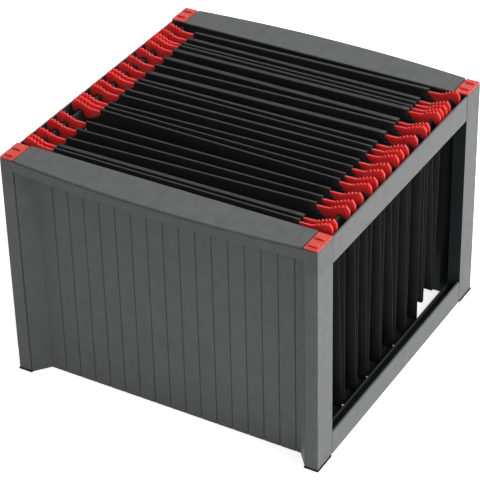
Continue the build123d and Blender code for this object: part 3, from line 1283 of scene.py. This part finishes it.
@dataclass
class FileRow:
    """The ten files, as they stand between the side rails."""

    lines: Lines
    rib_inset: float = 15.0
    rib_drop: float = 3.0
    arm: float = 24.8
    right: tuple[float, ...] = (
        -0.392, -0.369, -0.299, -0.264, -0.221, -0.167, -0.134, -0.092, -0.053, -0.007,
        0.026, 0.054, 0.111, 0.168, 0.191, 0.258, 0.278, 0.301, 0.325, 0.387)
    left: tuple[float, ...] = (
        -0.395, -0.376, -0.332, -0.279, -0.231, -0.156, -0.134, -0.112, -0.057, -0.024,
        0.026, 0.047, 0.093, 0.141, 0.192, 0.245, 0.276, 0.293, 0.326, 0.367)
    crowns: tuple[float, ...] = (2.7, 5.2, 2.9, 2.8, 2.9, 2.8, 2.7, 2.9, 3.0, 3.6,
                                 2.9, 3.8, 6.2, 3.5, 6.2, 6.0, 3.4, 3.4, 5.2, 4.4)
    feet_right: tuple[float, ...] = (
        -0.406, -0.314, -0.308, -0.233, -0.218, -0.148, -0.141, -0.082, -0.068, 0.005,
        0.012, 0.092, 0.106, 0.172, 0.179, 0.253, 0.282, 0.295, 0.355, 0.362)
    feet_left: tuple[float, ...] = (
        -0.408, -0.348, -0.341, -0.245, -0.238, -0.148, -0.141, -0.076, -0.069, 0.005,
        0.012, 0.072, 0.078, 0.158, 0.164, 0.255, 0.280, 0.290, 0.354, 0.361)
    foot_reach: float = 157.0
    foot_heights: tuple[float, ...] = (6.0, 6.0, 6.0, 6.0, 6.0, 6.0, 6.0, 6.0, 22.0, 22.0)

    def files(self) -> list[HangingFile]:
        """Work the files out from the places of their bars and feet.

        Returns:
            The files from front to back.
        """
        depth = 2 * self.lines.half_y
        rib = self.lines.half_x - self.rib_inset
        hook = ToothedHook(rib, self.lines.rail_top - self.rib_drop)
        reach = rib - self.arm
        bars = [BarLine((right + left) / 2 * depth, (right - left) * depth / (2 * reach), crown)
                for right, left, crown in zip(self.right, self.left, self.crowns)]
        feet = [Course((right + left) / 2 * depth, (right - left) * depth / (2 * self.foot_reach))
                for right, left in zip(self.feet_right, self.feet_left)]
        return [HangingFile(k + 1, tuple(bars[2 * k:2 * k + 2]), tuple(feet[2 * k:2 * k + 2]), height, hook)
                for k, height in enumerate(self.foot_heights)]

    def build(self, card: bpy.types.Material, cut: bpy.types.Material, crown_highlight: bpy.types.Material,
              red: bpy.types.Material, steel: bpy.types.Material) -> None:
        """Build all ten files and dress their bars.

        Args:
            card: the card's faces.
            cut: its cut edges.
            crown_highlight: lighter card on the crowns over the bars, a painted highlight.
            red: the hooks' plastic.
            steel: the bars.
        """
        for file in self.files():
            file.build_card(card, cut, crown_highlight)
            file.build_hooks(red)
            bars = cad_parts[f"folder_bars_{file.number:02d}"]
            bars.data.materials.clear()
            bars.data.materials.append(steel)


# ------------------------------------------------------------------ studio
def backdrop_seen(tree: bpy.types.NodeTree) -> bpy.types.Node:
    """Tell what sees the backdrop from what it lights.

    Args:
        tree: the node tree of the backdrop.

    Returns:
        A node that gives 1 to the camera, to reflections and to glass, and 0 to soft light.
    """
    rays = node(tree, "LightPath").outputs
    glossy_or_clear = node(tree, "Math", {"operation": "MAXIMUM"}, i0=rays["Is Glossy Ray"],
                           i1=rays["Is Transmission Ray"])
    return node(tree, "Math", {"operation": "MAXIMUM"}, i0=rays["Is Camera Ray"], i1=glossy_or_clear)


@dataclass
class Lamp:
    """Soft rectangular lamp that faces the middle of the box."""

    name: str
    azimuth: float
    elevation: float
    distance: float
    size: float
    watts: float
    aim_height: float = 0.13

    def build(self) -> None:
        """Hang the lamp."""
        data = bpy.data.lights.new(self.name, "AREA")
        data.shape = "SQUARE"
        data.size = self.size
        data.energy = self.watts
        lamp = bpy.data.objects.new(self.name, data)
        around, up = math.radians(self.azimuth), math.radians(self.elevation)
        toward = Vector((math.sin(around) * math.cos(up), -math.cos(around) * math.cos(up), math.sin(up)))
        lamp.location = Vector((0, 0, self.aim_height)) + toward * self.distance
        lamp.rotation_euler = toward.to_track_quat("Z", "Y").to_euler()
        bpy.context.scene.collection.objects.link(lamp)


@dataclass
class Studio:
    """White studio: floor, sky and lamps."""

    sky: float = 0.314
    floor_glow: float = 0.75
    floor_gap: float = 0.0002
    floor_size: float = 30.0
    lamps: tuple[Lamp, ...] = (
        Lamp("key_right", 88, 38, 2.6, 1.6, 31.4),
        Lamp("key_back", 110, 30, 2.6, 1.6, 37.8),
        Lamp("top", 0, 88, 2.6, 2.0, 7.0),
    )

    def build(self) -> None:
        """Set the studio up."""
        self.build_sky()
        self.build_floor()
        for lamp in self.lamps:
            lamp.build()

    def build_sky(self) -> None:
        """White for the camera, softer light for the object."""
        world = bpy.data.worlds.new("studio")
        world.use_nodes = True
        tree = world.node_tree
        strength = node(tree, "MapRange", Value=backdrop_seen(tree), To_Min=self.sky, To_Max=1.0)
        tree.links.new(strength.outputs[0], tree.nodes["Background"].inputs["Strength"])
        tree.nodes["Background"].inputs["Color"].default_value = linear("#ffffff")
        bpy.context.scene.world = world

    def build_floor(self) -> None:
        """Lay the pale floor."""
        mesh = bpy.data.meshes.new("floor")
        bm = bmesh.new()
        bmesh.ops.create_grid(bm, x_segments=1, y_segments=1, size=self.floor_size,
                              matrix=Matrix.Translation((0, 0, -self.floor_gap)))
        bm.to_mesh(mesh)
        bm.free()
        material = bpy.data.materials.new("studio_floor")
        material.use_nodes = True
        tree = material.node_tree
        shader = tree.nodes["Principled BSDF"]
        shader.inputs["Base Color"].default_value = linear("#f4f4f4")
        shader.inputs["Roughness"].default_value = 0.9
        shader.inputs["Specular IOR Level"].default_value = 0.0
        shader.inputs["Emission Color"].default_value = linear("#ffffff")
        glow = node(tree, "MapRange", Value=backdrop_seen(tree), To_Min=0.0, To_Max=self.floor_glow)
        tree.links.new(glow.outputs[0], shader.inputs["Emission Strength"])
        mesh.materials.append(material)
        floor = bpy.data.objects.new("floor", mesh)
        bpy.context.scene.collection.objects.link(floor)


@dataclass
class Camera:
    """Camera that looks down on the box from the right of its front."""

    azimuth: float = 30.6968
    elevation: float = 33.7972
    roll: float = -1.4162
    lens: float = 159.758
    sensor: float = 36.0
    offset: tuple[float, float, float] = (-0.011197, 0.095627, 2.325608)

    def build(self) -> None:
        """Place the camera."""
        around, up, roll = (math.radians(a) for a in (self.azimuth, self.elevation, self.roll))
        back = Vector((math.sin(around) * math.cos(up), -math.cos(around) * math.cos(up), math.sin(up)))
        right = Vector((math.cos(around), math.sin(around), 0))
        above = back.cross(right)
        tilted_right = math.cos(roll) * right + math.sin(roll) * above
        tilted_up = math.cos(roll) * above - math.sin(roll) * right
        data = bpy.data.cameras.new("camera")
        data.lens = self.lens
        data.sensor_width = self.sensor
        data.clip_end = 100.0
        camera = bpy.data.objects.new("camera", data)
        turn = Matrix((tilted_right, tilted_up, back)).transposed()
        camera.matrix_world = Matrix.Translation(turn @ Vector(self.offset)) @ turn.to_4x4()
        bpy.context.scene.collection.objects.link(camera)
        bpy.context.scene.camera = camera


def main() -> None:
    """Build the whole scene."""
    logging.basicConfig(level=logging.INFO, format="%(name)s %(message)s")
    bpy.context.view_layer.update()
    lines = Lines.read()
    # inner is the near-black plastic that paints the shade inside the box.
    plastic, rail, inner = FRAME_ABS.make(), RAIL_ABS.make(), PAINTED_SHADE_ABS.make()
    key_red, hook_red, rubber = KEY_RED.make(), HOOK_RED.make(), PAD_RUBBER.make()
    for end in End:
        EndPanel(lines, end).build(plastic, inner)
        EndRail(lines, end).build(rail, inner)
    for side in Side:
        for level in Level:
            SideRail(lines, side, level).build(plastic, inner)
        for end in End:
            corner = Corner(lines, side, end)
            corner.build_foot(plastic, inner)
            corner.build_pad(rubber)
            corner.build_key(key_red)
    FileRow(lines).build(CARD_BLACK.make(), CARD_CUT.make(), CARD_CROWN_HIGHLIGHT.make(), hook_red, BAR_STEEL.make())
    Studio().build()
    Camera().build()
    bpy.context.scene.view_settings.view_transform = "Standard"


if __name__ == "__main__":
    main()
